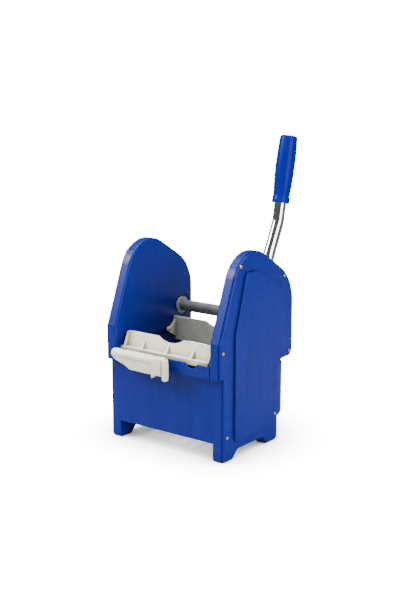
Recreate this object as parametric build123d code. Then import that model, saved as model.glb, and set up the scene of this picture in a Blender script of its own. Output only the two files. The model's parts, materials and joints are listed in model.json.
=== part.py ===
"""Down-press mop wringer: two gear towers, a basket between them, two swinging press plates and a handle.

The handle turns a cross shaft. In each tower a toothed drive sector on the shaft swings the front arm,
and a pair of counter gears swings the rear arm the other way, so that both press plates close on the mop.
"""
import os
from math import acos, atan2, cos, degrees, hypot, pi, radians, sin, tan

from build123d import *

os.makedirs("parts", exist_ok=True)

# Driving dimensions in mm. While the pieces are drawn, x runs across from the middle, y rearward from the
# front plane of the towers and z up from the floor. Points in a side view are (y, z).

# Moulded walls and layers
INNER_WIDTH = 236.0
WALL = 3.0
GEAR_T = 7.0
LAYER_GAP = 1.0
COVER_T = 4.5
COVER_INSET = 1.5
PANEL_RISE = 4.0

# Tower outline
TOWER_HEIGHT = 400.0
UPPER_DEPTH = 250.0
SHOULDER_DEPTH = 50.0
LOWER_FRONT = 12.0
LOWER_REAR = UPPER_DEPTH - SHOULDER_DEPTH
RIM_Z = 166.0
KNEE_Z = 234.0
FRONT_LEAN = 21.0
ROOF_FALL = 31.0
TOP_RADIUS = 71.5
REAR_RADIUS = 89.0
KNEE_RADIUS = 14.0
NOTCH_RADIUS = 20.0
SHOULDER_RADIUS = 14.0
FRONT_FOOT_END = 45.0
ARCH_FRONT = 61.0
REAR_FOOT_LENGTH = 40.0
ARCH_SLOPE = 14.0
REAR_FOOT_START = LOWER_REAR - REAR_FOOT_LENGTH
ARCH_REAR = REAR_FOOT_START - ARCH_SLOPE
ARCH_HEIGHT = 16.0
FOOT_RADIUS = 6.0
ARCH_RADIUS = 8.0
HEEL_RADIUS = 10.0
EDGE_ROUND = 4.0
RIM_ROUND = 3.0

# Raised panel of the covers
PANEL_FRONT = 46.0
PANEL_MARGIN = 33.0
PANEL_REAR = UPPER_DEPTH - PANEL_MARGIN
PANEL_LOWER_REAR = LOWER_REAR - PANEL_MARGIN
PANEL_BOTTOM = 36.0
PANEL_TOP = 363.0
PANEL_BEND_Z = 246.0
PANEL_PEAK_FRONT = 81.0
PANEL_PEAK_REAR = 122.0
PANEL_SHOULDER_Z = 310.0
PANEL_NOTCH_Z = 187.0
PANEL_CORNER = 8.0
PANEL_NOTCH_RADIUS = 15.0
PANEL_SHOULDER_RADIUS = 30.0
PANEL_TOP_RADIUS = 60.0
PANEL_BEND_RADIUS = 40.0
PANEL_WALL = 4.0
PANEL_ROUND = 1.5

# Cover screws
FRONT_COVER_SCREWS = [(66.0, 376.0), (10.0, 219.0), (24.5, 49.5)]
REAR_COVER_SCREWS = [(35.0, 337.0), (13.0, 178.0), (62.0, 57.0)]
COVER_SCREWS = FRONT_COVER_SCREWS + [(UPPER_DEPTH - inset, z) for inset, z in REAR_COVER_SCREWS]
SCREW_R = 2.0
SCREW_HEAD_R = 3.5
SCREW_HEAD_T = 1.8
SCREW_LENGTH = 16.0
SCREW_RECESS = 1.0
BOSS_R = 5.0

# Basket between the towers
FLOOR_Z = 36.0
FLOOR_LEDGE = 8.0
FLOOR_LEDGE_T = 2.0
SIDE_TOP = 156.0
BACK_TOP = 145.0
BACK_REACH = 30.0
BACK_Y = UPPER_DEPTH + BACK_REACH
BACK_CORNER = 45.0
BACK_BELLY = 50.0
BACK_STEP = 8.0
BACK_STEP_Y = LOWER_REAR - BACK_STEP
BAND_TOP = 190.5
BAND_NOTCH_X = 74.0
BAND_NOTCH_HALF = 13.5
BAND_NOTCH_DEPTH = 10.0
DRAIN_PLATE_T = 3.0
DRAIN_PLAY = 0.3
DRAIN_COLUMNS = 7
DRAIN_PITCH = 27.0
DRAIN_WIDTH = 9.0
DRAIN_LENGTH = 62.0
DRAIN_ROWS = (75.0, 160.0)
BASKET_SCREW_FRONT = 35.0
BASKET_SCREW_INSET = 20.0
BASKET_SCREW_ROWS = (66.0, 138.0)
BASKET_SCREW_R = 2.5
BASKET_SCREW_LENGTH = 13.0
BASKET_HEAD_R = 4.5
BASKET_HEAD_T = 2.5
BASKET_BOSS_R = 6.5
BASKET_BOSS_L = 9.0

# Shaft and gears
SHAFT_BACKING = 36.2
SHAFT_Y = UPPER_DEPTH - SHAFT_BACKING
SHAFT_Z = 243.0
SHAFT_R = 12.0
SHAFT_END_R = 8.0
RUN_PLAY = 0.05
SEAT_PLAY = 0.02
BUSH_R = 15.0
BUSH_FLANGE_R = 18.0
BUSH_FLANGE_T = 4.0
BUSH_DISH_R = 26.0
BUSH_DISH = 1.2
MODULE = 3.0
PRESSURE = 20.0
BACKLASH = 0.6
DRIVE_TEETH = 30
COUNTER_TEETH = 18
HANDLE_TRAVEL = 72.0
FRONT_PIVOT_Y = 75.0
PIVOT_Z = 326.53
HUB_R = 17.0
REAR_SPACER_R = 13.0
ARM_BUSH_R = 9.0
PIVOT_R = 6.0
PIVOT_SEAT = 1.6
COVER_SEAT = 2.5
FAN_RIM = 18.0
FAN_STEM_ANGLE = -57.0
FAN_STEM_R = 12.0
DRIVE_HUB_R = 16.0
ROLL_PIN_R = 2.5

# Press plates and their studs
FRONT_STUD = (19.0, 188.0)
REAR_STUD_SETBACK = 37.0
REAR_STUD_Z = 198.0
STUD_R = 5.0
SLOT_PLAY = 0.8
STUD_BOSS_R = 6.0
ARM_END_R = 12.0
SHUTTER_T = 2.5
SHUTTER_LAP = 3.0
SHUTTER_REACH = 5.0
PLATE_GAP = 1.0
PLATE_T = 4.5
FRONT_PLATE_INSET = 11.0
REAR_PLATE_INSET = 6.0
FRONT_WEB_FOOT = 22.0
FRONT_WEB_LEAN = 15.0
FRONT_WEB_BOTTOM = 176.0
FRONT_WEB_TOP = 223.0
FRONT_LEDGE_Z = 195.0
FRONT_LEDGE_Y = 9.0
LIP_DROP = 10.0
REAR_WEB_SETBACK = 19.0
REAR_WEB_BOTTOM = 174.0
REAR_WEB_TOP = 224.0
REAR_LEDGE_Z = 184.5
REAR_LEDGE_DEPTH = 23.0
SCALLOP_HALF = 31.0
SCALLOP_DEPTH = 9.5
GUSSET_PITCH = 62.0
GUSSET_T = 6.0
GUSSET_TIP = 2.0
GUSSET_RISE = 20.0
GUSSET_FOOT = 10.0
END_RIB_T = 2.5
END_RIB_DEPTH = 5.0
EAR_T = 7.0
EAR_FOOT_SETBACK = 5.0
EAR_FOOT_Z = 191.0
EAR_FOOT_R = 11.0
PLATE_SCREW_R = 2.5
PLATE_SCREW_HEAD_R = 4.5
PLATE_SCREW_HEAD_T = 3.5
FRONT_SCREW_GRIP = 11.0
FRONT_BOSS_L = 19.0

# Handle
HANDLE_INSET = 19.5
TUBE_R = 12.1
TUBE_WALL = 1.8
LOWER_LEAN = 2.8
LOWER_RUN = 120.0
MIDDLE_LEAN = 26.3
MIDDLE_RUN = 81.4
TOP_LEAN = 11.8
TOP_RUN = 170.0
TUBE_BEND = 70.0
SLEEVE_R = 18.0
SLEEVE_LENGTH = 22.0
SOCKET_WALL = 2.5
SOCKET_START = 20.0
SOCKET_END = 62.0
BOLT_AT = 44.0
BOLT_R = 3.0
BOLT_HEAD_R = 6.0
BOLT_HEAD_T = 4.0
BOLT_NUT_T = 5.0
BOLT_PAD_R = 7.0
BOLT_PAD_RISE = 1.0
GRIP_LENGTH = 136.0
GRIP_R = 19.6
GRIP_SWELL_AT = 78.0
GRIP_TOP_R = 17.4
GRIP_WAIST_R = 16.8
GRIP_WAIST_AT = 15.0
GRIP_COLLAR_R = 18.1
GRIP_COLLAR_H = 5.0
GRIP_CAP = 5.0
GRIP_CROWN = 4.0

# Return spring
SPRING_LEVER_R = 28.0
SPRING_LEVER_W = 10.0
SPRING_PAD_R = 5.0
SPRING_PAD_T = 8.0
SPRING_BASE_Z = 262.0
SPRING_COIL_R = 2.6
SPRING_WIRE_R = 0.7
SPRING_TURNS = 8

# Rim latch
LATCH_Y = -12.0
LATCH_Z = 186.0
LATCH_R = 10.0
LATCH_INSET = 12.0
LATCH_BARREL_END = 20.0
LATCH_SKIRT_Y = -20.0
LATCH_SKIRT_T = 6.0
LATCH_SKIRT_DROP = 27.0
LATCH_SLANT = [(0.0, 9.0), (12.0, 13.6), (28.0, 18.1), (42.0, 25.6)]
LATCH_BOSS = (-6.0, 20.0)
LATCH_BOSS_Y = -24.0
LATCH_BOSS_T = 10.0
LATCH_BOSS_DROP = 36.0
LATCH_BOSS_RISE = 9.5
LATCH_BOSS_ARCH = 11.0
LATCH_HOLLOW_X = 12.0
LATCH_HOLLOW_DROP = 50.0
LATCH_HOLLOW_R = 24.4
LATCH_TAB = (22.0, 33.0)
LATCH_TAB_Y = -26.0
LATCH_TAB_T = 8.0
LATCH_TAB_DROP = 34.0
LATCH_TAB_RISE = 10.0
LATCH_TAB_CORNER = 4.5
LATCH_ROUND = 2.5
LATCH_PIN_R = 3.0
LUG_CENTRES = (-85.0, -5.0)
LUG_T = 8.0
LUG_R = 7.0
LUG_DROP = 10.0
LUG_ARM_R = 4.0
LUG_GAP = 0.6
LUG_RELIEF = (-98.0, 97.0)

# Values that follow from the driving dimensions
TOWER_T = WALL + 2 * GEAR_T + 3 * LAYER_GAP
INNER_X = INNER_WIDTH / 2
OUTER_X = INNER_X + TOWER_T
COVER_X = OUTER_X + COVER_T
CAVITY_X = INNER_X + WALL
LAYER_A = CAVITY_X + LAYER_GAP
LAYER_B = LAYER_A + GEAR_T + LAYER_GAP
LAYER_END = LAYER_B + GEAR_T
SHAFT = (SHAFT_Y, SHAFT_Z)
CENTRE_DISTANCE = hypot(SHAFT_Y - FRONT_PIVOT_Y, PIVOT_Z - SHAFT_Z)
FAN_TEETH = round(2 * CENTRE_DISTANCE / MODULE) - DRIVE_TEETH
GEAR_MODULE = 2 * CENTRE_DISTANCE / (DRIVE_TEETH + FAN_TEETH)
FAN_R = GEAR_MODULE * FAN_TEETH / 2
FRONT_PIVOT = (FRONT_PIVOT_Y, PIVOT_Z)
REAR_PIVOT = (FRONT_PIVOT_Y + GEAR_MODULE * COUNTER_TEETH, PIVOT_Z)
JAW_TRAVEL = HANDLE_TRAVEL * DRIVE_TEETH / FAN_TEETH
ROOT_DEPTH = 1.25 * GEAR_MODULE
REAR_STUD = (REAR_PIVOT[0] + REAR_STUD_SETBACK, REAR_STUD_Z)
REAR_WEB_Y = REAR_STUD[0] + REAR_WEB_SETBACK
EAR_FOOT = (REAR_WEB_Y + EAR_FOOT_SETBACK, EAR_FOOT_Z)
EAR_SWEEP = REAR_WEB_TOP - REAR_STUD_Z - STUD_BOSS_R
BASKET_SCREW_YS = (BASKET_SCREW_FRONT, LOWER_REAR - BASKET_SCREW_INSET)
BASKET_SCREWS = [(y, z) for y in BASKET_SCREW_YS for z in BASKET_SCREW_ROWS]
STUD_END = INNER_X - PLATE_GAP
SHAFT_END_X = LAYER_END - LAYER_GAP / 2
SECTOR_PIN_X = LAYER_A + GEAR_T / 2
SPRING_X = LAYER_A + GEAR_T / 2
LATCH = (LATCH_Y, LATCH_Z)
LATCH_LEFT = LATCH_INSET - INNER_X
LATCH_HOLLOW = (LATCH_HOLLOW_X, LATCH_Z - LATCH_HOLLOW_DROP)
HANDLE_X = INNER_X - HANDLE_INSET
SOCKET_R = TUBE_R + SOCKET_WALL
BOLT_SEAT = SOCKET_R + BOLT_PAD_RISE


def polar(centre, radius, angle):
    """Point at a radius and an angle in degrees from a centre."""
    return centre[0] + radius * cos(radians(angle)), centre[1] + radius * sin(radians(angle))


def bearing(start, end):
    """Angle in degrees of the line from start to end."""
    return degrees(atan2(end[1] - start[1], end[0] - start[0]))


SPRING_TIP = polar(FRONT_PIVOT, SPRING_LEVER_R, 180 - JAW_TRAVEL / 2)


def disc(centre, radius):
    """Round face at a point."""
    return Pos(*centre) * Circle(radius)


def rounded(corners):
    """Closed face from (point, radius) corners."""
    points = [point for point, _ in corners]
    radii = [radius for _, radius in corners]
    return make_face(FilletPolyline(*points, radius=radii, close=True).edges())


def block(low, high):
    """Rectangular face between two corners."""
    middle = ((low[0] + high[0]) / 2, (low[1] + high[1]) / 2)
    return Pos(*middle) * Rectangle(high[0] - low[0], high[1] - low[1])


def slab(face, x, thickness):
    """Plate with a side-view face, from x towards +x."""
    return extrude(Plane.YZ.offset(x) * face, amount=thickness, dir=(1, 0, 0))


def rod(centre, radius, start, end):
    """Round bar along x."""
    return slab(disc(centre, radius), start, end - start)


def pie(centre, radius, start, end):
    """Sector of a disc between two angles."""
    arc = CenterArc(centre, radius, start, end - start)
    return make_face([arc, Line(arc @ 1, centre), Line(centre, arc @ 0)])


def band(centre, inner, outer, start, end):
    """Sector of a ring between two angles."""
    far = CenterArc(centre, outer, start, end - start)
    near = CenterArc(centre, inner, start, end - start)
    return make_face([far, Line(far @ 1, near @ 1), near, Line(near @ 0, far @ 0)])


def link(start, start_r, end, end_r):
    """Tapered strap with round ends."""
    along = bearing(start, end)
    spread = degrees(acos((start_r - end_r) / hypot(end[0] - start[0], end[1] - start[1])))
    corners = [
        polar(start, start_r, along + spread),
        polar(end, end_r, along + spread),
        polar(end, end_r, along - spread),
        polar(start, start_r, along - spread),
    ]
    return disc(start, start_r) + disc(end, end_r) + Polygon(*corners, align=None)


def mirrored(shape):
    """The same piece on the other side of the wringer."""
    return mirror(shape, about=Plane.YZ)


def both(shape):
    """A piece and its mirror image as a group."""
    return Compound([shape, mirrored(shape)])


def tooth(teeth):
    """One gear tooth on the local x axis, with involute flanks."""
    pitch_r = GEAR_MODULE * teeth / 2
    base = pitch_r * cos(radians(PRESSURE))
    root = pitch_r - ROOT_DEPTH
    tip = pitch_r + GEAR_MODULE
    half = (pi * GEAR_MODULE / 2 - BACKLASH / 2) / (2 * pitch_r) + tan(radians(PRESSURE)) - radians(PRESSURE)
    low = max(base, root)
    flank = []
    for step in range(4):
        radius = low + (tip - low) * step / 3
        pressure = acos(min(1.0, base / radius))
        flank.append((radius, degrees(half - tan(pressure) + pressure)))
    flank.insert(0, (root - GEAR_MODULE / 4, flank[0][1]))
    side = [polar((0, 0), radius, angle) for radius, angle in flank]
    return Polygon(*side, *[(x, -y) for x, y in reversed(side)], align=None)


def sector(centre, teeth, middles):
    """Toothed sector: a pie of root radius with a tooth at each angle."""
    pitch = 360 / teeth
    root = GEAR_MODULE * teeth / 2 - ROOT_DEPTH
    face = pie(centre, root, min(middles) - pitch / 2, max(middles) + pitch / 2)
    for middle in middles:
        face += Pos(*centre) * Rot(0, 0, middle) * tooth(teeth)
    return face


def tower_outline():
    """Side outline of a tower: feet, shoulders that rest on a bucket rim, leaning front and round top."""
    lean, fall = radians(FRONT_LEAN), radians(ROOF_FALL)
    centre_z = TOWER_HEIGHT - TOP_RADIUS
    centre_y = (TOP_RADIUS + (centre_z - KNEE_Z) * sin(lean)) / cos(lean)
    roof = centre_y * sin(fall) + centre_z * cos(fall) + TOP_RADIUS
    climb = (roof - KNEE_Z * cos(fall)) / (sin(lean) * sin(fall) + cos(lean) * cos(fall))
    peak = (climb * sin(lean), KNEE_Z + climb * cos(lean))
    back = (UPPER_DEPTH, (roof - UPPER_DEPTH * sin(fall)) / cos(fall))
    return rounded([
        ((LOWER_FRONT, 0), FOOT_RADIUS),
        ((FRONT_FOOT_END, 0), FOOT_RADIUS),
        ((ARCH_FRONT, ARCH_HEIGHT), ARCH_RADIUS),
        ((ARCH_REAR, ARCH_HEIGHT), ARCH_RADIUS),
        ((REAR_FOOT_START, 0), 0),
        ((LOWER_REAR, 0), HEEL_RADIUS),
        ((LOWER_REAR, RIM_Z), NOTCH_RADIUS),
        ((UPPER_DEPTH, RIM_Z), SHOULDER_RADIUS),
        (back, REAR_RADIUS),
        (peak, TOP_RADIUS),
        ((0, KNEE_Z), KNEE_RADIUS),
        ((0, RIM_Z), 0),
        ((LOWER_FRONT, RIM_Z), 0),
    ])


def panel_outline():
    """Side outline of the raised panel on a cover."""
    return rounded([
        ((PANEL_FRONT, PANEL_BOTTOM), PANEL_CORNER),
        ((PANEL_LOWER_REAR, PANEL_BOTTOM), PANEL_CORNER),
        ((PANEL_LOWER_REAR, PANEL_NOTCH_Z), PANEL_NOTCH_RADIUS),
        ((PANEL_REAR, PANEL_NOTCH_Z), PANEL_NOTCH_RADIUS),
        ((PANEL_REAR, PANEL_SHOULDER_Z), PANEL_SHOULDER_RADIUS),
        ((PANEL_PEAK_REAR, PANEL_TOP), PANEL_TOP_RADIUS),
        ((PANEL_PEAK_FRONT, PANEL_TOP), PANEL_CORNER),
        ((PANEL_FRONT, PANEL_BEND_Z), PANEL_BEND_RADIUS),
    ])


def stud_slot(pivot, stud, swing):
    """Curved slot that a plate stud runs in, about its arm's pivot."""
    radius = hypot(stud[0] - pivot[0], stud[1] - pivot[1])
    start = bearing(pivot, stud)
    half = STUD_R + SLOT_PLAY
    low, high = sorted((start, start + swing))
    face = band(pivot, radius - half, radius + half, low, high)
    return face + disc(polar(pivot, radius, low), half) + disc(polar(pivot, radius, high), half)


def right_tower():
    """Hollow tower, open on its outer side, with posts for the cover screws and a ledge for the spring."""
    outline = tower_outline()
    shell = slab(outline, INNER_X, TOWER_T)
    upper = [edge for edge in shell.faces().sort_by(Axis.X)[0].edges() if edge.center().Z > RIM_Z + 1]
    shell = fillet(upper, EDGE_ROUND)
    shell -= slab(offset(outline, -WALL, kind=Kind.INTERSECTION), CAVITY_X, TOWER_T)
    ledge_low = (SPRING_TIP[0] - SPRING_PAD_R, SPRING_BASE_Z - SPRING_PAD_T)
    shell += slab(block(ledge_low, (SPRING_TIP[0] + SPRING_PAD_R, SPRING_BASE_Z)), CAVITY_X, GEAR_T)
    for place in COVER_SCREWS:
        shell += rod(place, BOSS_R, CAVITY_X, OUTER_X)
    for place in COVER_SCREWS:
        shell -= rod(place, SCREW_R + SEAT_PLAY, COVER_X - SCREW_LENGTH - LAYER_GAP, OUTER_X)
    for place in BASKET_SCREWS:
        shell -= rod(place, BASKET_SCREW_R + RUN_PLAY, INNER_X, CAVITY_X)
    for pivot in (FRONT_PIVOT, REAR_PIVOT):
        shell -= rod(pivot, PIVOT_R + SEAT_PLAY, CAVITY_X - PIVOT_SEAT, CAVITY_X)
    shell -= rod(SHAFT, BUSH_DISH_R, INNER_X, INNER_X + BUSH_DISH)
    shell -= rod(SHAFT, BUSH_R + SEAT_PLAY, INNER_X, CAVITY_X)
    shell -= slab(stud_slot(FRONT_PIVOT, FRONT_STUD, JAW_TRAVEL), INNER_X, WALL)
    shell -= slab(stud_slot(REAR_PIVOT, REAR_STUD, -JAW_TRAVEL), INNER_X, WALL)
    return shell


def right_cover():
    """Cover of a tower: flat rim for the screws and a raised panel, hollow behind."""
    plate = slab(offset(tower_outline(), -COVER_INSET, kind=Kind.INTERSECTION), OUTER_X, COVER_T)
    plate = fillet(plate.faces().sort_by(Axis.X)[-1].edges(), RIM_ROUND)
    panel = slab(panel_outline(), COVER_X - PANEL_RISE, 2 * PANEL_RISE)
    plate += fillet(panel.faces().sort_by(Axis.X)[-1].edges(), PANEL_ROUND)
    plate -= slab(offset(panel_outline(), -PANEL_WALL), OUTER_X, PANEL_RISE)
    for pivot in (FRONT_PIVOT, REAR_PIVOT):
        plate += rod(pivot, PIVOT_R + PANEL_WALL, OUTER_X, COVER_X)
        plate -= rod(pivot, PIVOT_R + SEAT_PLAY, OUTER_X, OUTER_X + COVER_SEAT)
    for place in COVER_SCREWS:
        plate -= rod(place, SCREW_R + RUN_PLAY, OUTER_X, COVER_X)
    return plate


def cover_screws():
    """Pan-head screws of the right cover, with a cross recess."""
    screws = []
    for place in COVER_SCREWS:
        head = rod(place, SCREW_HEAD_R, COVER_X, COVER_X + SCREW_HEAD_T)
        head = fillet(head.faces().sort_by(Axis.X)[-1].edges(), SCREW_HEAD_T / 2)
        for size in ((SCREW_R * 2, SCREW_RECESS), (SCREW_RECESS, SCREW_R * 2)):
            head -= slab(Pos(*place) * Rectangle(*size), COVER_X + SCREW_HEAD_T / 2, SCREW_HEAD_T)
        screws.append(head + rod(place, SCREW_R, COVER_X - SCREW_LENGTH, COVER_X))
    return Compound(screws)


def tub(inset, floor, top):
    """Basket body: a plan with round rear corners crossed with a side view that has a round belly."""
    half = INNER_X - inset
    front, back = LOWER_FRONT + inset, BACK_Y - inset
    corner = BACK_CORNER - inset
    plan = rounded([((-half, front), 0), ((half, front), 0), ((half, back), corner), ((-half, back), corner)])
    belly = BACK_BELLY - inset
    side = rounded([((front, floor), 0), ((back, floor), belly), ((back, top), 0), ((front, top), 0)])
    return extrude(Pos(0, 0, floor) * plan, amount=top - floor) & slab(side, -half, 2 * half)


def floor_plan(inset):
    """Plan of the basket's flat floor, in from its outer faces and from the start of its belly."""
    half = INNER_X - inset
    return block((-half, LOWER_FRONT + inset), (half, BACK_Y - BACK_BELLY + WALL - inset))


def drain_plate():
    """Slotted plate that lies on the basket's floor ledge."""
    face = floor_plan(WALL + DRAIN_PLAY)
    for column in range(DRAIN_COLUMNS):
        x = (column - (DRAIN_COLUMNS - 1) / 2) * DRAIN_PITCH
        for y in DRAIN_ROWS:
            face -= Pos(x, y) * Rot(0, 0, 90) * SlotOverall(DRAIN_LENGTH, DRAIN_WIDTH)
    return extrude(Pos(0, 0, FLOOR_Z + FLOOR_LEDGE_T) * face, amount=DRAIN_PLATE_T)


def latch_lug(centre_x):
    """Lug on the front rim that carries the latch pin."""
    face = link(LATCH, LUG_R, (WALL / 2, LATCH_Z - LUG_DROP), LUG_ARM_R)
    face &= block((LATCH_Y - LUG_R, RIM_Z), (WALL, LATCH_Z + LUG_R))
    return slab(face, centre_x - LUG_T / 2, LUG_T)


def basket():
    """Basket with a stepped front rim, a floor ledge, a bulged back and lugs for the rim latch."""
    body = tub(0, FLOOR_Z, SIDE_TOP)
    body -= slab(block((BACK_STEP_Y, BACK_TOP), (BACK_Y, SIDE_TOP)), -INNER_X, INNER_WIDTH)
    body -= tub(WALL, FLOOR_Z + FLOOR_LEDGE_T, SIDE_TOP)
    body -= extrude(Pos(0, 0, FLOOR_Z) * floor_plan(WALL + FLOOR_LEDGE), amount=FLOOR_LEDGE_T)
    front = block((LOWER_FRONT, FLOOR_Z), (LOWER_FRONT + WALL, RIM_Z + WALL))
    front += block((0, RIM_Z), (LOWER_FRONT + WALL, RIM_Z + WALL))
    front += block((0, RIM_Z), (WALL, BAND_TOP))
    body += slab(front, -INNER_X, INNER_WIDTH)
    notch_r = (BAND_NOTCH_HALF**2 + BAND_NOTCH_DEPTH**2) / (2 * BAND_NOTCH_DEPTH)
    for x in (-BAND_NOTCH_X, BAND_NOTCH_X):
        hole = Pos(x, WALL / 2, BAND_TOP - BAND_NOTCH_DEPTH + notch_r) * Rot(90, 0, 0)
        body -= hole * Cylinder(notch_r, 2 * WALL)
    for place in BASKET_SCREWS:
        for side in (-1, 1):
            face_x = side * (INNER_X - WALL)
            low, high = sorted((face_x, face_x - side * BASKET_BOSS_L))
            body += rod(place, BASKET_BOSS_R, low, high)
            low, high = sorted((side * INNER_X, side * (CAVITY_X - BASKET_SCREW_LENGTH - LAYER_GAP)))
            body -= rod(place, BASKET_SCREW_R + SEAT_PLAY, low, high)
    for x in LUG_CENTRES:
        body += latch_lug(x)
    body -= rod(LATCH, LATCH_PIN_R + SEAT_PLAY, LATCH_LEFT, LATCH_BARREL_END)
    return body


def basket_screws():
    """Screws from inside the towers into the basket's bosses."""
    screws = []
    for place in BASKET_SCREWS:
        head = rod(place, BASKET_HEAD_R, CAVITY_X, CAVITY_X + BASKET_HEAD_T)
        screw = head + rod(place, BASKET_SCREW_R, CAVITY_X - BASKET_SCREW_LENGTH, CAVITY_X)
        screws.extend([screw, mirrored(screw)])
    return Compound(screws)


def right_shaft_bush():
    """Flanged bush of the cross shaft in the tower's inner wall."""
    seat = INNER_X + BUSH_DISH
    bush = rod(SHAFT, BUSH_FLANGE_R, seat - BUSH_FLANGE_T, seat) + rod(SHAFT, BUSH_R, seat, CAVITY_X)
    return bush - rod(SHAFT, SHAFT_R + RUN_PLAY, seat - BUSH_FLANGE_T, CAVITY_X)


def arm_pivot_pins():
    """Fixed pins that the arms swing on, held between tower wall and cover."""
    pins = []
    for pivot in (FRONT_PIVOT, REAR_PIVOT):
        pin = rod(pivot, PIVOT_R, CAVITY_X - PIVOT_SEAT + SEAT_PLAY, OUTER_X + COVER_SEAT - SEAT_PLAY)
        pins.extend([pin, mirrored(pin)])
    return Compound(pins)


def return_spring():
    """Compression spring that lifts the front arm's lever, in the right tower."""
    top = SPRING_TIP[1] - SPRING_PAD_T - SEAT_PLAY
    start_z = SPRING_BASE_Z + SPRING_WIRE_R + SEAT_PLAY
    height = top - SPRING_WIRE_R - start_z
    path = Pos(SPRING_X, SPRING_TIP[0], start_z) * Helix(height / SPRING_TURNS, height, SPRING_COIL_R)
    return sweep(Plane(origin=path @ 0, z_dir=path % 0) * Circle(SPRING_WIRE_R), path=path, is_frenet=True)


def shaft_cross_hole(x, radius):
    """Hole for a roll pin through the shaft, along y."""
    return Pos(x, SHAFT_Y, SHAFT_Z) * Rot(90, 0, 0) * Cylinder(radius, 4 * SLEEVE_R)


def cross_shaft():
    """Shaft across the wringer with reduced ends for the drive sectors."""
    shoulder = LAYER_A - LAYER_GAP / 2
    shaft = rod(SHAFT, SHAFT_R, -shoulder, shoulder)
    shaft += rod(SHAFT, SHAFT_END_R, -SHAFT_END_X, SHAFT_END_X)
    for x in (-SECTOR_PIN_X, SECTOR_PIN_X, HANDLE_X):
        shaft -= shaft_cross_hole(x, ROLL_PIN_R + SEAT_PLAY)
    return shaft


def right_drive_sector():
    """Toothed sector on the shaft's end that swings the front arm."""
    pitch = 360 / DRIVE_TEETH
    mesh = bearing(SHAFT, FRONT_PIVOT)
    steps = round(HANDLE_TRAVEL / pitch)
    middles = [mesh + pitch * (step + 0.5) for step in range(-2, steps + 2)]
    gear = slab(sector(SHAFT, DRIVE_TEETH, middles) + disc(SHAFT, DRIVE_HUB_R), LAYER_B, GEAR_T)
    gear += rod(SHAFT, DRIVE_HUB_R, LAYER_A, LAYER_B)
    gear -= rod(SHAFT, SHAFT_END_R + SEAT_PLAY, LAYER_A, LAYER_END)
    return gear - shaft_cross_hole(SECTOR_PIN_X, ROLL_PIN_R + SEAT_PLAY)


def roll_pin(x, half_length):
    """Roll pin through the shaft, along y."""
    return Pos(x, SHAFT_Y, SHAFT_Z) * Rot(90, 0, 0) * Cylinder(ROLL_PIN_R, 2 * half_length)


def right_front_arm():
    """Front arm: strap and fan in the outer layer, counter gear and spring lever in the inner layer, stud."""
    pitch = 360 / FAN_TEETH
    mesh = bearing(FRONT_PIVOT, SHAFT)
    steps = round(JAW_TRAVEL / pitch)
    root = FAN_R - ROOT_DEPTH
    stem_end = polar(FRONT_PIVOT, root - FAN_RIM, FAN_STEM_ANGLE)
    outer = link(FRONT_PIVOT, HUB_R, FRONT_STUD, ARM_END_R)
    outer += link(FRONT_PIVOT, FAN_STEM_R, stem_end, FAN_STEM_R)
    outer += band(FRONT_PIVOT, root - FAN_RIM, root, mesh - (steps + 1.6) * pitch, mesh + 1.6 * pitch)
    for step in range(-steps - 1, 2):
        outer += Pos(*FRONT_PIVOT) * Rot(0, 0, mesh + step * pitch) * tooth(FAN_TEETH)
    counter_pitch = 360 / COUNTER_TEETH
    inner = sector(FRONT_PIVOT, COUNTER_TEETH, [counter_pitch * step for step in (-2, -1, 0, 1)])
    inner += disc(FRONT_PIVOT, HUB_R) + link(FRONT_PIVOT, SPRING_LEVER_W, SPRING_TIP, SPRING_PAD_R)
    pad_low = (SPRING_TIP[0] - SPRING_PAD_R, SPRING_TIP[1] - SPRING_PAD_T)
    inner += block(pad_low, (SPRING_TIP[0] + SPRING_PAD_R, SPRING_TIP[1]))
    arm = slab(outer, LAYER_B, GEAR_T) + slab(inner, LAYER_A, LAYER_B - LAYER_A)
    arm += rod(FRONT_STUD, STUD_R, STUD_END, LAYER_B)
    return bored_arm(arm, FRONT_PIVOT, FRONT_STUD, LAYER_END)


def bored_arm(arm, pivot, stud, face_x):
    """Arm with its bush bore and a counterbored screw hole through its stud."""
    arm -= rod(pivot, ARM_BUSH_R + SEAT_PLAY, LAYER_A, LAYER_END)
    arm -= rod(stud, PLATE_SCREW_R + RUN_PLAY, STUD_END, face_x)
    return arm - rod(stud, PLATE_SCREW_HEAD_R + RUN_PLAY, face_x - PLATE_SCREW_HEAD_T, face_x)


def right_rear_arm():
    """Rear arm: strap, counter gear and slot shutter in the inner layer, spacer in the outer layer, stud."""
    counter_pitch = 360 / COUNTER_TEETH
    middles = [180 + counter_pitch * (step + 0.5) for step in (-1, 0, 1, 2)]
    face = link(REAR_PIVOT, HUB_R, REAR_STUD, ARM_END_R) + sector(REAR_PIVOT, COUNTER_TEETH, middles)
    arm = slab(face, LAYER_A, GEAR_T) + rod(REAR_PIVOT, REAR_SPACER_R, LAYER_A, LAYER_END)
    arm += rod(REAR_STUD, STUD_R, STUD_END, LAYER_A) + slot_shutter()
    return bored_arm(arm, REAR_PIVOT, REAR_STUD, LAYER_A + GEAR_T)


def slot_shutter():
    """Curved blade on the rear arm that covers the stud's slot while the plates are open."""
    radius = hypot(REAR_STUD[0] - REAR_PIVOT[0], REAR_STUD[1] - REAR_PIVOT[1])
    start = bearing(REAR_PIVOT, REAR_STUD)
    half = STUD_R + SLOT_PLAY + SHUTTER_LAP
    blade = band(REAR_PIVOT, radius - half, radius + half, start - JAW_TRAVEL - SHUTTER_REACH, start)
    return slab(blade, LAYER_A, SHUTTER_T)


def arm_bush(pivot):
    """Bush pressed into an arm's hub."""
    return rod(pivot, ARM_BUSH_R, LAYER_A, LAYER_END) - rod(pivot, PIVOT_R + RUN_PLAY, LAYER_A, LAYER_END)


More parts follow.
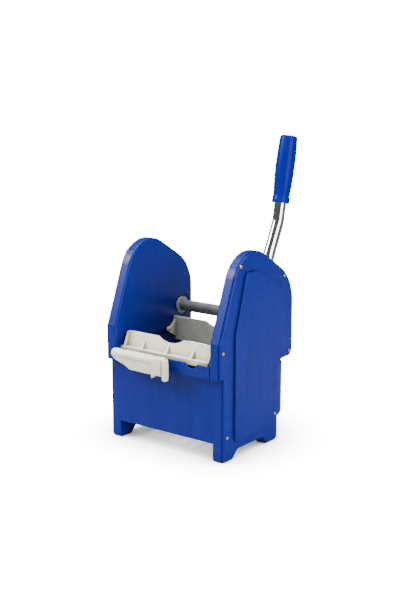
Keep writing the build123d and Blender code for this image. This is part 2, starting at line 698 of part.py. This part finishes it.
def plate_screw(stud, face_x, grip):
    """Screw through a stud into the end of a press plate."""
    under_head = face_x - PLATE_SCREW_HEAD_T
    head = rod(stud, PLATE_SCREW_HEAD_R, under_head, face_x - SEAT_PLAY)
    return head + rod(stud, PLATE_SCREW_R, STUD_END - grip, under_head)


def scalloped(plate, y, top):
    """Press plate with the shallow hollow in the middle of its top edge."""
    radius = (SCALLOP_HALF**2 + SCALLOP_DEPTH**2) / (2 * SCALLOP_DEPTH)
    hollow = Pos(0, y, top - SCALLOP_DEPTH + radius) * Rot(90, 0, 0)
    return plate - hollow * Cylinder(radius, REAR_LEDGE_DEPTH * 2)


def gusset(corners):
    """Gusset on the middle plane with a side-view triangle, wide at its foot and narrow at its tip."""
    ys = [y for y, _ in corners]
    zs = [z for _, z in corners]
    foot, tip = GUSSET_T / 2, GUSSET_TIP / 2
    taper = Polygon((-foot, min(zs)), (foot, min(zs)), (tip, max(zs)), (-tip, max(zs)), align=None)
    side = slab(Polygon(*corners, align=None), -foot, GUSSET_T)
    return side & upright(taper, min(ys), max(ys) - min(ys))


def front_plate():
    """Front press plate: leaning web, ledge with a lip towards the front, gussets, end ribs and bosses."""
    half = INNER_X - FRONT_PLATE_INSET
    slope = tan(radians(FRONT_WEB_LEAN))
    low_y = FRONT_WEB_FOOT - (FRONT_LEDGE_Z - FRONT_WEB_BOTTOM) * slope
    top_y = FRONT_WEB_FOOT + (FRONT_WEB_TOP - FRONT_LEDGE_Z) * slope
    web_t = PLATE_T / cos(radians(FRONT_WEB_LEAN))
    web = [(low_y, FRONT_WEB_BOTTOM), (top_y, FRONT_WEB_TOP)]
    web += [(top_y + web_t, FRONT_WEB_TOP), (low_y + web_t, FRONT_WEB_BOTTOM)]
    root = (FRONT_WEB_FOOT + web_t / 2, FRONT_LEDGE_Z)
    face = Polygon(*web, align=None)
    face += block((FRONT_LEDGE_Y, FRONT_LEDGE_Z - PLATE_T), root)
    face += block((FRONT_LEDGE_Y, FRONT_LEDGE_Z - LIP_DROP), (FRONT_LEDGE_Y + PLATE_T, FRONT_LEDGE_Z))
    plate = slab(face, -half, 2 * half)
    foot = (FRONT_WEB_FOOT - GUSSET_FOOT, FRONT_LEDGE_Z)
    tip = (root[0] + GUSSET_RISE * slope, FRONT_LEDGE_Z + GUSSET_RISE)
    for x in (-GUSSET_PITCH, 0, GUSSET_PITCH):
        plate += Pos(x, 0, 0) * gusset([foot, tip, root])
    rib_top = [(top_y - END_RIB_DEPTH, FRONT_WEB_TOP), (top_y + web_t / 2, FRONT_WEB_TOP)]
    for x in (-half, half - END_RIB_T):
        plate += slab(Polygon(foot, *rib_top, root, align=None), x, END_RIB_T)
    plate = scalloped(plate, top_y, FRONT_WEB_TOP)
    boss = rod(FRONT_STUD, STUD_BOSS_R, STUD_END - FRONT_BOSS_L, STUD_END)
    hole = rod(FRONT_STUD, PLATE_SCREW_R + SEAT_PLAY, STUD_END - FRONT_SCREW_GRIP - LAYER_GAP, STUD_END)
    return plate + boss + mirrored(boss) - hole - mirrored(hole)


def rear_plate():
    """Rear press plate: smooth web, ledge with a lip and gussets towards the rear, ears at the ends."""
    half = INNER_X - REAR_PLATE_INSET
    back_y = REAR_WEB_Y + PLATE_T
    lip_y = REAR_WEB_Y + REAR_LEDGE_DEPTH
    face = block((REAR_WEB_Y, REAR_WEB_BOTTOM), (back_y, REAR_WEB_TOP))
    face += block((REAR_WEB_Y, REAR_LEDGE_Z - PLATE_T), (lip_y, REAR_LEDGE_Z))
    face += block((lip_y - PLATE_T, REAR_LEDGE_Z - LIP_DROP), (lip_y, REAR_LEDGE_Z))
    plate = slab(face, -half, 2 * half)
    root = (back_y - PLATE_T / 2, REAR_LEDGE_Z)
    tip = (root[0], REAR_LEDGE_Z + GUSSET_RISE)
    for x in (-GUSSET_PITCH, 0, GUSSET_PITCH):
        plate += Pos(x, 0, 0) * gusset([root, (lip_y - PLATE_T, REAR_LEDGE_Z), tip])
    plate = scalloped(plate, REAR_WEB_Y, REAR_WEB_TOP)
    wing = block(REAR_STUD, (back_y, REAR_WEB_TOP)) - disc((REAR_WEB_Y - EAR_SWEEP, REAR_WEB_TOP), EAR_SWEEP)
    ear = slab(link(REAR_STUD, STUD_BOSS_R, EAR_FOOT, EAR_FOOT_R) + wing, STUD_END - EAR_T, EAR_T)
    hole = rod(REAR_STUD, PLATE_SCREW_R + SEAT_PLAY, STUD_END - EAR_T, STUD_END)
    return plate + ear + mirrored(ear) - hole - mirrored(hole)


def handle_points():
    """Bend points of the handle tube in side view, from the shaft up."""
    points = [SHAFT]
    for lean, run in ((LOWER_LEAN, LOWER_RUN), (MIDDLE_LEAN, MIDDLE_RUN), (TOP_LEAN, TOP_RUN)):
        points.append(polar(points[-1], run, 90 - lean))
    return points


def on_handle(point, lean):
    """Plane across the handle at a side-view point, its normal up along the tube and its y to the rear."""
    up = (0, sin(radians(lean)), cos(radians(lean)))
    return Plane(origin=(HANDLE_X, *point), x_dir=(1, 0, 0), z_dir=up)


def bolt_cut(radius):
    """Cylinder through socket and tube where the bolt goes."""
    across = on_handle(polar(SHAFT, BOLT_AT, 90 - LOWER_LEAN), LOWER_LEAN)
    return across * Rot(90, 0, 0) * Cylinder(radius, 4 * SOCKET_R)


def handle_hub():
    """Hub pinned on the shaft, with a socket that takes the handle tube."""
    base = on_handle(SHAFT, LOWER_LEAN)
    hub = rod(SHAFT, SLEEVE_R, HANDLE_X - SLEEVE_LENGTH / 2, HANDLE_X + SLEEVE_LENGTH / 2)
    hub += base * Pos(0, 0, SOCKET_END / 2) * Cylinder(SOCKET_R, SOCKET_END)
    hub += base * Pos(0, 0, BOLT_AT) * Rot(90, 0, 0) * Cylinder(BOLT_PAD_R, 2 * BOLT_SEAT)
    depth = SOCKET_END - SOCKET_START
    hub -= base * Pos(0, 0, SOCKET_START + depth / 2) * Cylinder(TUBE_R + SEAT_PLAY, depth)
    hub -= rod(SHAFT, SHAFT_R + SEAT_PLAY, HANDLE_X - SLEEVE_LENGTH, HANDLE_X + SLEEVE_LENGTH)
    hub -= shaft_cross_hole(HANDLE_X, ROLL_PIN_R + SEAT_PLAY)
    return hub - bolt_cut(BOLT_R + RUN_PLAY)


def handle_tube():
    """Bent handle tube, its foot in the hub socket and its top in the grip."""
    points = handle_points()
    foot = polar(SHAFT, SOCKET_START, 90 - LOWER_LEAN)
    path = FilletPolyline(*[(HANDLE_X, *point) for point in (foot, *points[1:])], radius=TUBE_BEND)
    ring = Circle(TUBE_R) - Circle(TUBE_R - TUBE_WALL)
    return sweep(on_handle(foot, LOWER_LEAN) * ring, path=path) - bolt_cut(BOLT_R + RUN_PLAY)


def handle_bolt():
    """Hexagon bolt through socket and tube, its head at the front."""
    across = on_handle(polar(SHAFT, BOLT_AT, 90 - LOWER_LEAN), LOWER_LEAN) * Rot(90, 0, 0)
    head = extrude(RegularPolygon(BOLT_HEAD_R, 6), amount=BOLT_HEAD_T)
    shank_l = 2 * BOLT_SEAT + BOLT_NUT_T + BOLT_R
    shank = Pos(0, 0, -shank_l / 2) * Cylinder(BOLT_R, shank_l)
    return across * Pos(0, 0, BOLT_SEAT) * (head + shank)


def handle_nut():
    """Nut of the handle bolt, at the rear."""
    across = on_handle(polar(SHAFT, BOLT_AT, 90 - LOWER_LEAN), LOWER_LEAN) * Rot(90, 0, 0)
    nut = extrude(RegularPolygon(BOLT_HEAD_R, 6) - Circle(BOLT_R + SEAT_PLAY), amount=-BOLT_NUT_T)
    return across * Pos(0, 0, -BOLT_SEAT) * nut


def handle_grip():
    """Grip on the tube's top: belled foot, a swell for the palm and a round end."""
    bore = TUBE_R + SEAT_PLAY
    collar, waist = (GRIP_COLLAR_R, GRIP_COLLAR_H), (GRIP_WAIST_R, GRIP_WAIST_AT)
    swell, top = (GRIP_R, GRIP_SWELL_AT), (GRIP_TOP_R, GRIP_LENGTH)
    side = [Line((GRIP_COLLAR_R, 0), collar), Line(collar, waist), ThreePointArc(waist, swell, top)]
    inside = Polyline(top, (0, GRIP_LENGTH), (0, GRIP_LENGTH - GRIP_CAP), (bore, GRIP_LENGTH - GRIP_CAP),
                      (bore, 0), (GRIP_COLLAR_R, 0))
    body = revolve(Plane.XZ * make_face([*side, inside]), Axis.Z)
    crown = [edge for edge in body.faces().sort_by(Axis.Z)[-1].edges()]
    body = fillet(crown, GRIP_CROWN)
    points = handle_points()
    foot = polar(points[-1], GRIP_CAP - GRIP_LENGTH, 90 - TOP_LEAN)
    return on_handle(foot, TOP_LEAN) * body


def latch_boss():
    """Bulge on the latch with an arched top and a hollow lower edge."""
    left, right = LATCH_BOSS
    low, high = LATCH_Z - LATCH_BOSS_DROP, LATCH_Z + LATCH_BOSS_RISE
    arch = [((right, high), LATCH_BOSS_ARCH), ((left, high), LATCH_BOSS_ARCH)]
    face = rounded([((left, low), 0), ((right, low), 0), *arch]) - disc(LATCH_HOLLOW, LATCH_HOLLOW_R)
    boss = upright(face, LATCH_BOSS_Y, LATCH_BOSS_T)
    front = boss.faces().sort_by(Axis.Y)[0].edges()
    return fillet([edge for edge in front if edge.center().Z > LATCH_Z - LATCH_SKIRT_DROP], LATCH_ROUND)


def latch_tab():
    """Finger tab at the latch's right end."""
    low, high = LATCH_Z - LATCH_TAB_DROP, LATCH_Z + LATCH_TAB_RISE
    corners = [(LATCH_TAB[0], low), (LATCH_TAB[1], low), (LATCH_TAB[1], high), (LATCH_TAB[0], high)]
    tab = upright(rounded([(corner, LATCH_TAB_CORNER) for corner in corners]), LATCH_TAB_Y, LATCH_TAB_T)
    return fillet(tab.faces().sort_by(Axis.Y)[0].edges(), LATCH_ROUND)


def rim_latch():
    """Latch bar on the front rim: barrel with a knob end, skirt, boss and finger tab."""
    latch = rod(LATCH, LATCH_R, LATCH_LEFT, LATCH_BARREL_END)
    latch += Pos(LATCH_LEFT, LATCH_Y, LATCH_Z) * Sphere(LATCH_R)
    right = LATCH_TAB[1] - LATCH_ROUND
    edge = [(LATCH_LEFT + run, LATCH_Z - drop) for run, drop in LATCH_SLANT]
    edge += [(right, LATCH_Z - LATCH_SKIRT_DROP), (right, LATCH_Z)]
    skirt = Polygon((LATCH_LEFT, LATCH_Z), *edge, align=None)
    latch += upright(skirt, LATCH_SKIRT_Y, LATCH_SKIRT_T) + latch_boss() + latch_tab()
    latch -= rod(LATCH, LATCH_PIN_R + RUN_PLAY, LATCH_LEFT + LATCH_PIN_R, LATCH_BARREL_END)
    relief = disc(LATCH, LUG_R + LUG_GAP) + pie(LATCH, 2 * LATCH_R, LUG_RELIEF[0], LUG_RELIEF[1])
    for x in LUG_CENTRES:
        latch -= slab(relief, x - LUG_T / 2 - LUG_GAP, LUG_T + 2 * LUG_GAP)
    return latch


def upright(face, y, thickness):
    """Plate with a front-view face (x, z), from y towards +y."""
    front = Plane(origin=(0, y, 0), x_dir=(1, 0, 0), z_dir=(0, -1, 0))
    return extrude(front * face, amount=thickness, dir=(0, 1, 0))


def latch_hinge_pin():
    """Pin of the rim latch, held in the basket's lugs."""
    return rod(LATCH, LATCH_PIN_R, LATCH_LEFT + LATCH_PIN_R + LUG_GAP, LATCH_BARREL_END - LUG_GAP)


def main():
    """Build every node and write one STEP file for each, with the origin under the middle of the part."""
    tower, cover, screws = right_tower(), right_cover(), cover_screws()
    sector_pin = roll_pin(SECTOR_PIN_X, DRIVE_HUB_R - SEAT_PLAY)
    nodes = {
        "right_tower": tower,
        "left_tower": mirrored(tower),
        "right_cover": cover,
        "left_cover": mirrored(cover),
        "right_cover_screws": screws,
        "left_cover_screws": mirrored(screws),
        "basket": basket(),
        "drain_plate": drain_plate(),
        "basket_screws": basket_screws(),
        "right_shaft_bush": right_shaft_bush(),
        "left_shaft_bush": mirrored(right_shaft_bush()),
        "arm_pivot_pins": arm_pivot_pins(),
        "return_springs": both(return_spring()),
        "latch_hinge_pin": latch_hinge_pin(),
        "cross_shaft": cross_shaft(),
        "right_drive_sector": right_drive_sector(),
        "left_drive_sector": mirrored(right_drive_sector()),
        "sector_roll_pins": both(sector_pin),
        "handle_hub": handle_hub(),
        "hub_roll_pin": roll_pin(HANDLE_X, SLEEVE_R - SEAT_PLAY),
        "handle_tube": handle_tube(),
        "handle_bolt": handle_bolt(),
        "handle_nut": handle_nut(),
        "handle_grip": handle_grip(),
        "right_front_arm": right_front_arm(),
        "left_front_arm": mirrored(right_front_arm()),
        "front_arm_bushes": both(arm_bush(FRONT_PIVOT)),
        "front_plate": front_plate(),
        "front_plate_screws": both(plate_screw(FRONT_STUD, LAYER_END, FRONT_SCREW_GRIP)),
        "right_rear_arm": right_rear_arm(),
        "left_rear_arm": mirrored(right_rear_arm()),
        "rear_arm_bushes": both(arm_bush(REAR_PIVOT)),
        "rear_plate": rear_plate(),
        "rear_plate_screws": both(plate_screw(REAR_STUD, LAYER_A + GEAR_T, EAR_T - SEAT_PLAY)),
        "rim_latch": rim_latch(),
    }
    boxes = [shape.bounding_box() for shape in nodes.values()]
    middle = (min(box.min.Y for box in boxes) + max(box.max.Y for box in boxes)) / 2
    print(f"side-view depth of the origin: {middle:.4f} mm")
    for name, shape in nodes.items():
        export_step(Pos(0, -middle, 0) * shape, f"parts/{name}.step")


main()
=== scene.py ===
import json
from math import cos, radians, sin

import bmesh
import bpy
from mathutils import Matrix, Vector


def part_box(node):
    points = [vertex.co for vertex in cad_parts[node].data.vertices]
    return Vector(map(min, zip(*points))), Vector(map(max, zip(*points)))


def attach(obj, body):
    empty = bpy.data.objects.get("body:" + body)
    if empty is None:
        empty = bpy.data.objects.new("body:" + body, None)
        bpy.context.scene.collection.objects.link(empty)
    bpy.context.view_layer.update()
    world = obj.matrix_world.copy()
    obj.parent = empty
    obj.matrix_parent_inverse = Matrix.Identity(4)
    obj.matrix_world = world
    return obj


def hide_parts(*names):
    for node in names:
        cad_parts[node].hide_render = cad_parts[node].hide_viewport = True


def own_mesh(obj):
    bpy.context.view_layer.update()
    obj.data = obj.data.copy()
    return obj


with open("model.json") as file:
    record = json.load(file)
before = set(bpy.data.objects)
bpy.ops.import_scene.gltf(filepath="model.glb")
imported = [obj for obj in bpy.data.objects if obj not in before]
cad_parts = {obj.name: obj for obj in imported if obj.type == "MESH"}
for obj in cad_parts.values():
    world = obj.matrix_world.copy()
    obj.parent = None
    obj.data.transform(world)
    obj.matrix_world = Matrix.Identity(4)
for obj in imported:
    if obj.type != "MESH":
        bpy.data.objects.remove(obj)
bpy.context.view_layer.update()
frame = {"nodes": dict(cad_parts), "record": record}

# Camera of the photograph, in metres and degrees, with its lens and sensor in millimetres.
CAMERA_TARGET = Vector((-0.1294, 0.1539, 0.2364))
CAMERA_AZIMUTH = 37.55
CAMERA_ELEVATION = 12.23
CAMERA_DISTANCE = 2.4074
CAMERA_LENS = 65.07
CAMERA_SENSOR = 36.0

# Colours, linear: the dark and the light end of each finish, and of the sky.
BLUE_DEEP = (0.0005, 0.0082, 0.1750, 1)
BLUE = (0.0010, 0.0108, 0.2150, 1)
BLUE_GRIP_DEEP = (0.0002, 0.0050, 0.1900, 1)
BLUE_GRIP = (0.0004, 0.0070, 0.2300, 1)
WHITE_DULL = (0.780, 0.775, 0.560, 1)
WHITE = (0.880, 0.875, 0.660, 1)
GREY_DARK = (0.115, 0.128, 0.131, 1)
GREY = (0.165, 0.182, 0.186, 1)
PALE_GREY_DULL = (0.300, 0.310, 0.310, 1)
PALE_GREY = (0.380, 0.390, 0.390, 1)
NYLON_DARK = (0.012, 0.013, 0.015, 1)
NYLON = (0.024, 0.025, 0.028, 1)
STEEL_DARK = (0.420, 0.430, 0.440, 1)
STEEL = (0.620, 0.630, 0.640, 1)
CAST_DARK = (0.260, 0.265, 0.275, 1)
CAST = (0.370, 0.375, 0.385, 1)
CHROME_DARK = (0.500, 0.510, 0.530, 1)
CHROME = (0.640, 0.645, 0.660, 1)
FLOOR_DULL = (0.380, 0.380, 0.380, 1)
FLOOR = (0.420, 0.420, 0.420, 1)
FLOOR_LIGHT = (1, 1, 1, 1)
HORIZON = (0.08, 0.08, 0.08, 1)
ZENITH = (0.60, 0.60, 0.60, 1)

# What all finishes share. A pattern runs from one end to the other between two values of its noise.
NOISE_ENDS = (0.30, 0.70)
BLOTCH_DETAIL = 4.0
SMEAR_DETAIL = 3.0
SMEAR_FINENESS = 3.1
GRAIN_DETAIL = 2.0
GRAIN_DEPTH = 0.0002
SHADE_SAMPLES = 8

# Finish of each material slot. The crease shade reach, in metres, is how far painted shade in corners and
# creases reaches.
FINISHES = {
    "blue_moulding": dict(dark=BLUE_DEEP, light=BLUE, rough=(0.28, 0.38), blotch=60.0, bump=0.14,
                          stretch=(1, 1, 0.12), gloss=0.20, crease_shade_reach=0.008),
    "white_moulding": dict(dark=WHITE_DULL, light=WHITE, rough=(0.36, 0.48), blotch=30.0, bump=0.08,
                           crease_shade_reach=0.016),
    "gear_nylon": dict(dark=NYLON_DARK, light=NYLON, rough=(0.42, 0.55), bump=0.10),
    "bush_plastic": dict(dark=PALE_GREY_DULL, light=PALE_GREY, rough=(0.38, 0.50)),
    "steel": dict(dark=STEEL_DARK, light=STEEL, rough=(0.22, 0.34), blotch=160.0, grain=2600.0,
                  metallic=1.0),
    "shaft_coating": dict(dark=GREY_DARK, light=GREY, rough=(0.40, 0.52), blotch=60.0),
    "hub_casting": dict(dark=CAST_DARK, light=CAST, rough=(0.42, 0.56), blotch=90.0, bump=0.2,
                        metallic=1.0),
    "tube_chrome": dict(dark=CHROME_DARK, light=CHROME, rough=(0.05, 0.09), blotch=40.0, bump=0.01,
                        metallic=1.0),
    "grip_plastic": dict(dark=BLUE_GRIP_DEEP, light=BLUE_GRIP, rough=(0.30, 0.40), bump=0.06, gloss=0.08),
}
FLOOR_FINISH = dict(dark=FLOOR_DULL, light=FLOOR, rough=(0.75, 0.85), blotch=2.0, grain=200.0, bump=0.01)

# Upstands on the basket's side walls, in metres; their length is set out from the rear shoulder.
UPSTAND_AHEAD = 0.037
UPSTAND_BEHIND = 0.008
UPSTAND_FOOT_Z = 0.1445
UPSTAND_ROUND = 0.008
UPSTAND_ROUND_STEPS = 6
UPSTAND_T = 0.0028

# Bevel widths, in metres, and the angle from which an edge is bevelled. Most CAD meshes are split at their
# sharp edges, which leaves nothing to bevel, so only the nodes that hold a few unsplit ones are named.
BEVEL_WIDTH = 0.0006
NODE_BEVELS = {"left_cover": 0.0006, "right_cover": 0.0006, "rim_latch": 0.0012}
BEVEL_SEGMENTS = 2
BEVEL_ANGLE = radians(35)

# Edges of the CAD meshes up to this angle are shaded smooth.
SMOOTH_ANGLE = radians(28)

# Floor and the wall round it, in metres.
FLOOR_RADIUS = 7.0
FLOOR_CURVE = 3.0
FLOOR_CURVE_STEPS = 12
FLOOR_SPIN_STEPS = 96
FLOOR_MERGE = 0.001
WALL_TOP = 9.0

# The floor's glow, as it lights the part and as the camera sees it. The glow fades under and round the part
# in a painted shadow, within a reach in metres, and a higher power makes that painted shadow darker.
FLOOR_GLOW = 0.03
FLOOR_GLOW_SEEN = 16.0
SHADE_REACH = 0.12
SHADE_POWER = 2.5

# Square lights: place and edge in metres, power in watts. All aim at the same point.
LIGHT_AIM = Vector((0.0, 0.0, 0.25))
LIGHTS = {
    "key": dict(place=(-1.9, -1.7, 2.1), edge=1.2, power=136),
    "fill": dict(place=(2.4, -0.5, 1.1), edge=1.6, power=84),
    "top": dict(place=(-0.3, -0.2, 2.9), edge=2.0, power=118),
}

# Heights between which the sky's colour changes, where 0 is level and 1 is overhead.
SKY_ENDS = (0.0, 0.8)


def link_nodes(tree, *pairs):
    """Links (node, output) to (node, input) pairs."""
    for (source, output), (target, socket) in pairs:
        tree.links.new(source.outputs[output], target.inputs[socket])


def noise(tree, coords, scale, detail, stretch):
    """Noise texture in object coordinates, stretched along the axes."""
    mapping = tree.nodes.new("ShaderNodeMapping")
    mapping.inputs["Scale"].default_value = stretch
    texture = tree.nodes.new("ShaderNodeTexNoise")
    texture.inputs["Scale"].default_value = scale
    texture.inputs["Detail"].default_value = detail
    link_nodes(
        tree,
        ((coords, "Object"), (mapping, "Vector")),
        ((mapping, "Vector"), (texture, "Vector")),
    )
    return texture


def colour_ramp(tree, ends, colours):
    """Ramp from one colour to another between two values."""
    ramp = tree.nodes.new("ShaderNodeValToRGB")
    for element, position, colour in zip(ramp.color_ramp.elements, ends, colours):
        element.position = position
        element.color = colour
    return ramp


def map_range(tree, source, target):
    """Maps one range of values to another."""
    node = tree.nodes.new("ShaderNodeMapRange")
    for label, value in zip(("From Min", "From Max", "To Min", "To Max"), (*source, *target)):
        node.inputs[label].default_value = value
    return node


def painted_shade(tree, reach):
    """Painted shade: darkens a surface's colour or glow where others are within reach."""
    node = tree.nodes.new("ShaderNodeAmbientOcclusion")
    node.samples = SHADE_SAMPLES
    node.inputs["Distance"].default_value = reach
    return node


def arithmetic(tree, operation):
    """Math node for one operation."""
    node = tree.nodes.new("ShaderNodeMath")
    node.operation = operation
    return node


def surface(name, dark, light, rough, blotch=22.0, grain=900.0, bump=0.06, metallic=0.0,
            stretch=(1, 1, 1), gloss=0.5, crease_shade_reach=0.0):
    """Procedural material: blotchy colour with painted shade in creases, uneven roughness and a fine grain.
    """
    material = bpy.data.materials.new(name)
    material.use_nodes = True
    tree = material.node_tree
    shader = tree.nodes["Principled BSDF"]
    shader.inputs["Metallic"].default_value = metallic
    shader.inputs["Specular IOR Level"].default_value = gloss
    coords = tree.nodes.new("ShaderNodeTexCoord")
    patches = noise(tree, coords, blotch, BLOTCH_DETAIL, stretch)
    ramp = colour_ramp(tree, NOISE_ENDS, (dark, light))
    paint = ramp
    # Painted shade: the colour is darkened by ambient occlusion in corners and creases.
    if crease_shade_reach:
        paint = painted_shade(tree, crease_shade_reach)
        link_nodes(tree, ((ramp, "Color"), (paint, "Color")))
    smears = noise(tree, coords, blotch * SMEAR_FINENESS, SMEAR_DETAIL, stretch)
    spread = map_range(tree, NOISE_ENDS, rough)
    fine = noise(tree, coords, grain, GRAIN_DETAIL, stretch)
    relief = tree.nodes.new("ShaderNodeBump")
    relief.inputs["Strength"].default_value = bump
    relief.inputs["Distance"].default_value = GRAIN_DEPTH
    link_nodes(
        tree,
        ((patches, "Fac"), (ramp, "Fac")),
        ((paint, "Color"), (shader, "Base Color")),
        ((smears, "Fac"), (spread, "Value")),
        ((spread, "Result"), (shader, "Roughness")),
        ((fine, "Fac"), (relief, "Height")),
        ((relief, "Normal"), (shader, "Normal")),
    )
    return material


def make_materials():
    """One material for each slot of the record."""
    return {slot: surface(slot, **finish) for slot, finish in FINISHES.items()}


def smooth(data):
    """Shades all faces of a mesh smooth."""
    for face in data.polygons:
        face.use_smooth = True


def soften(piece, width):
    """Bevels a piece's sharp edges."""
    bevel = piece.modifiers.new("soft_edges", "BEVEL")
    bevel.width = width
    bevel.segments = BEVEL_SEGMENTS
    bevel.limit_method = "ANGLE"
    bevel.angle_limit = BEVEL_ANGLE
    bevel.harden_normals = True


def dress_nodes(materials):
    """Every CAD node gets its slot's material and smooth curves, and some get a bevel."""
    slots = {row["node"]: row["material_slot"] for row in frame["record"]["subparts"]}
    for name, node in frame["nodes"].items():
        node.data.materials.clear()
        node.data.materials.append(materials[slots[name]])
        smooth(node.data)
        node.data.set_sharp_from_angle(angle=SMOOTH_ANGLE)
        if name in NODE_BEVELS:
            soften(node, NODE_BEVELS[name])


def quarter(centre, radius, start, steps):
    """Points of a quarter circle, anticlockwise from an angle in degrees."""
    angles = [radians(start + 90 * step / steps) for step in range(steps + 1)]
    return [(centre[0] + radius * cos(angle), centre[1] + radius * sin(angle)) for angle in angles]


def make_object(name, mesh, paint):
    """Puts a finished bmesh into the scene."""
    data = bpy.data.meshes.new(name)
    mesh.to_mesh(data)
    mesh.free()
    data.materials.append(paint)
    made = bpy.data.objects.new(name, data)
    bpy.context.scene.collection.objects.link(made)
    return made


def upstand_profile():
    """Side view (y, z) of an upstand: its top meets the rear shoulder and its rear corner is round."""
    shoulder = next(mount for mount in frame["record"]["mounts"] if mount["name"] == "rear_shoulder")
    _, middle, top = shoulder["pos_m"]
    front, rear = middle - UPSTAND_AHEAD, middle + UPSTAND_BEHIND
    centre = (rear - UPSTAND_ROUND, top - UPSTAND_ROUND)
    corner = quarter(centre, UPSTAND_ROUND, 0, UPSTAND_ROUND_STEPS)
    return [(front, top), (front, UPSTAND_FOOT_Z), (rear, UPSTAND_FOOT_Z), *corner]


def add_upstand(name, outer, inner, paint):
    """Thin wall that closes the slit between the basket's side and a tower's rear shoulder."""
    profile = upstand_profile()
    mesh = bmesh.new()
    near, far = [[mesh.verts.new((x, y, z)) for y, z in profile] for x in (outer, inner)]
    mesh.faces.new(near)
    mesh.faces.new(far)
    for here in range(len(profile)):
        after = (here + 1) % len(profile)
        mesh.faces.new((near[here], near[after], far[after], far[here]))
    bmesh.ops.recalc_face_normals(mesh, faces=mesh.faces)
    piece = make_object(name, mesh, paint)
    soften(piece, BEVEL_WIDTH)
    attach(piece, "housing")


def add_upstands(paint):
    """One upstand on each side, flush with the towers' inner faces."""
    right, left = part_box("right_tower")[0].x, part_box("left_tower")[1].x
    add_upstand("right_upstand", right, right - UPSTAND_T, paint)
    add_upstand("left_upstand", left, left + UPSTAND_T, paint)


def add_return_coils():
    """Stands for the return springs."""
    node = frame["nodes"]["return_springs"]
    coils = bpy.data.objects.new("return_coils", node.data.copy())
    bpy.context.scene.collection.objects.link(coils)
    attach(coils, "housing")
    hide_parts("return_springs")
    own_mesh(coils)


def floor_paint():
    """Pale floor that glows to the eye but throws little light; the glow fades under the part in a painted
    shadow.
    """
    paint = surface("floor_paint", **FLOOR_FINISH)
    tree = paint.node_tree
    shader = tree.nodes["Principled BSDF"]
    shader.inputs["Emission Color"].default_value = FLOOR_LIGHT
    path = tree.nodes.new("ShaderNodeLightPath")
    # Painted shadow: the glow is dimmed where the part is near, by ambient occlusion raised to a power.
    shade = painted_shade(tree, SHADE_REACH)
    lit = arithmetic(tree, "POWER")
    lit.inputs[1].default_value = SHADE_POWER
    seen = arithmetic(tree, "MULTIPLY")
    glow = map_range(tree, (0, 1), (FLOOR_GLOW, FLOOR_GLOW_SEEN))
    link_nodes(
        tree,
        ((shade, "AO"), (lit, 0)),
        ((lit, "Value"), (seen, 0)),
        ((path, "Is Camera Ray"), (seen, 1)),
        ((seen, "Value"), (glow, "Value")),
        ((glow, "Result"), (shader, "Emission Strength")),
    )
    return paint


def add_floor():
    """Round pale floor that curves up into a wall all round."""
    curve = quarter((FLOOR_RADIUS, FLOOR_CURVE), FLOOR_CURVE, -90, FLOOR_CURVE_STEPS)
    profile = [(0, 0), *curve, (FLOOR_RADIUS + FLOOR_CURVE, WALL_TOP)]
    mesh = bmesh.new()
    line = [mesh.verts.new((radius, 0, height)) for radius, height in profile]
    edges = [mesh.edges.new(pair) for pair in zip(line, line[1:])]
    bmesh.ops.spin(mesh, geom=line + edges, cent=(0, 0, 0), axis=(0, 0, 1), angle=radians(360),
                   steps=FLOOR_SPIN_STEPS)
    bmesh.ops.remove_doubles(mesh, verts=mesh.verts, dist=FLOOR_MERGE)
    bmesh.ops.recalc_face_normals(mesh, faces=mesh.faces)
    floor = make_object("floor", mesh, floor_paint())
    smooth(floor.data)


def facing(direction):
    """Rotation of a light or camera that looks along a direction."""
    return direction.to_track_quat("-Z", "Y").to_euler()


def add_light(name, place, edge, power):
    """Large soft square light."""
    data = bpy.data.lights.new(name, "AREA")
    data.shape = "SQUARE"
    data.size = edge
    data.energy = power
    lamp = bpy.data.objects.new(name, data)
    lamp.location = place
    lamp.rotation_euler = facing(LIGHT_AIM - Vector(place))
    bpy.context.scene.collection.objects.link(lamp)


def add_lights():
    """Soft studio light: key at the front left, fill at the right and a top light."""
    for name, light in LIGHTS.items():
        add_light(name, **light)


def add_sky():
    """Grey sky, dark at the horizon and paler overhead."""
    world = bpy.data.worlds.new("studio")
    world.use_nodes = True
    tree = world.node_tree
    coords = tree.nodes.new("ShaderNodeTexCoord")
    split = tree.nodes.new("ShaderNodeSeparateXYZ")
    ramp = colour_ramp(tree, SKY_ENDS, (HORIZON, ZENITH))
    link_nodes(
        tree,
        ((coords, "Generated"), (split, "Vector")),
        ((split, "Z"), (ramp, "Fac")),
        ((ramp, "Color"), (tree.nodes["Background"], "Color")),
    )
    bpy.context.scene.world = world


def add_camera():
    """Camera at the photograph's place."""
    turn, rise = radians(CAMERA_AZIMUTH), radians(CAMERA_ELEVATION)
    away = Vector((sin(turn) * cos(rise), -cos(turn) * cos(rise), sin(rise)))
    data = bpy.data.cameras.new("camera")
    data.lens = CAMERA_LENS
    data.sensor_width = CAMERA_SENSOR
    camera = bpy.data.objects.new("camera", data)
    camera.location = CAMERA_TARGET + away * CAMERA_DISTANCE
    camera.rotation_euler = facing(-away)
    bpy.context.scene.collection.objects.link(camera)
    bpy.context.scene.camera = camera


paints = make_materials()
dress_nodes(paints)
add_upstands(paints["blue_moulding"])
add_return_coils()
add_floor()
add_lights()
add_sky()
add_camera()
